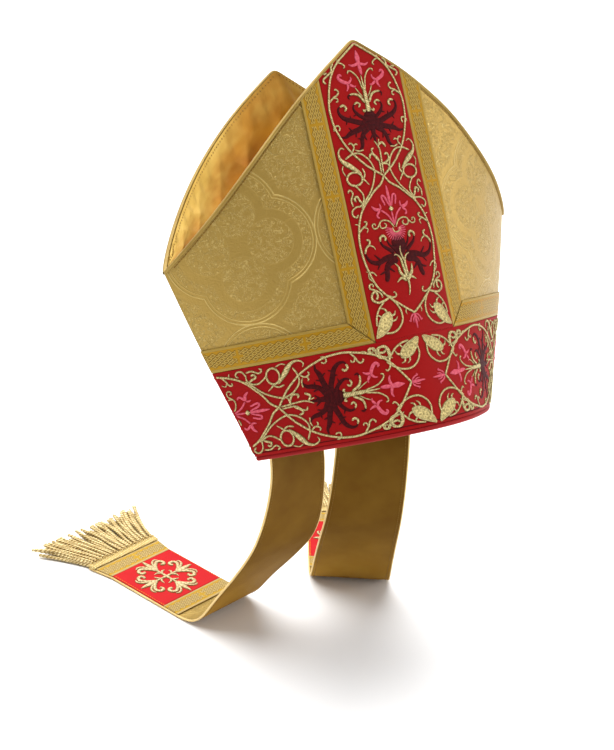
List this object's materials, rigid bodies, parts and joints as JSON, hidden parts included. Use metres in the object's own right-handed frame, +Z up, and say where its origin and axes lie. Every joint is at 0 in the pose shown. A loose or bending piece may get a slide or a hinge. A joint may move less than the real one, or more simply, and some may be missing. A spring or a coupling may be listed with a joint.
{
  "type": "bishop mitre",
  "caption": "Two-horned bishop's mitre in gold brocade with embroidered red bands, gold galloon, a satin fold between the horns and two fringed lappets.",
  "frame": {"origin": "centre of the rim's plane, where the mitre sits on a head", "axes": "+Z straight up with the mitre leaning back as worn, front towards -Y, the wearer's left towards +X; the lappets hang along -Z and their ends lie level behind"},
  "size_m": [0.3823, 0.3947, 0.5352],
  "materials": {
    "gold_brocade": "satin brocade with raised tone-on-tone damask",
    "golden_satin": "smooth satin lining",
    "red_satin": "fine red satin under raised embroidery",
    "gold_galloon": "woven metallic braid",
    "gold_bullion": "twisted metallic cord"
  },
  "bodies": {
    "root": {"circulus": "red_satin", "rim_piping": "red_satin", "gusset": "golden_satin", "front_shield": "gold_brocade", "front_titulus": "red_satin", "front_upright_galloon_right": "gold_galloon", "front_level_galloon_right": "gold_galloon", "front_upright_galloon_left": "gold_galloon", "front_level_galloon_left": "gold_galloon", "back_shield": "gold_brocade", "back_titulus": "red_satin", "back_upright_galloon_right": "gold_galloon", "back_level_galloon_right": "gold_galloon", "back_upright_galloon_left": "gold_galloon", "back_level_galloon_left": "gold_galloon", "lappet_right": "gold_brocade", "lappet_right_upper_galloon": "gold_galloon", "lappet_right_end_patch": "red_satin", "lappet_right_lower_galloon": "gold_galloon", "lappet_right_fringe_heading": "gold_bullion", "lappet_right_fringe": "gold_bullion", "lappet_left": "gold_brocade", "lappet_left_upper_galloon": "gold_galloon", "lappet_left_end_patch": "red_satin", "lappet_left_lower_galloon": "gold_galloon", "lappet_left_fringe_heading": "gold_bullion", "lappet_left_fringe": "gold_bullion"}
  },
  "joints": []
}
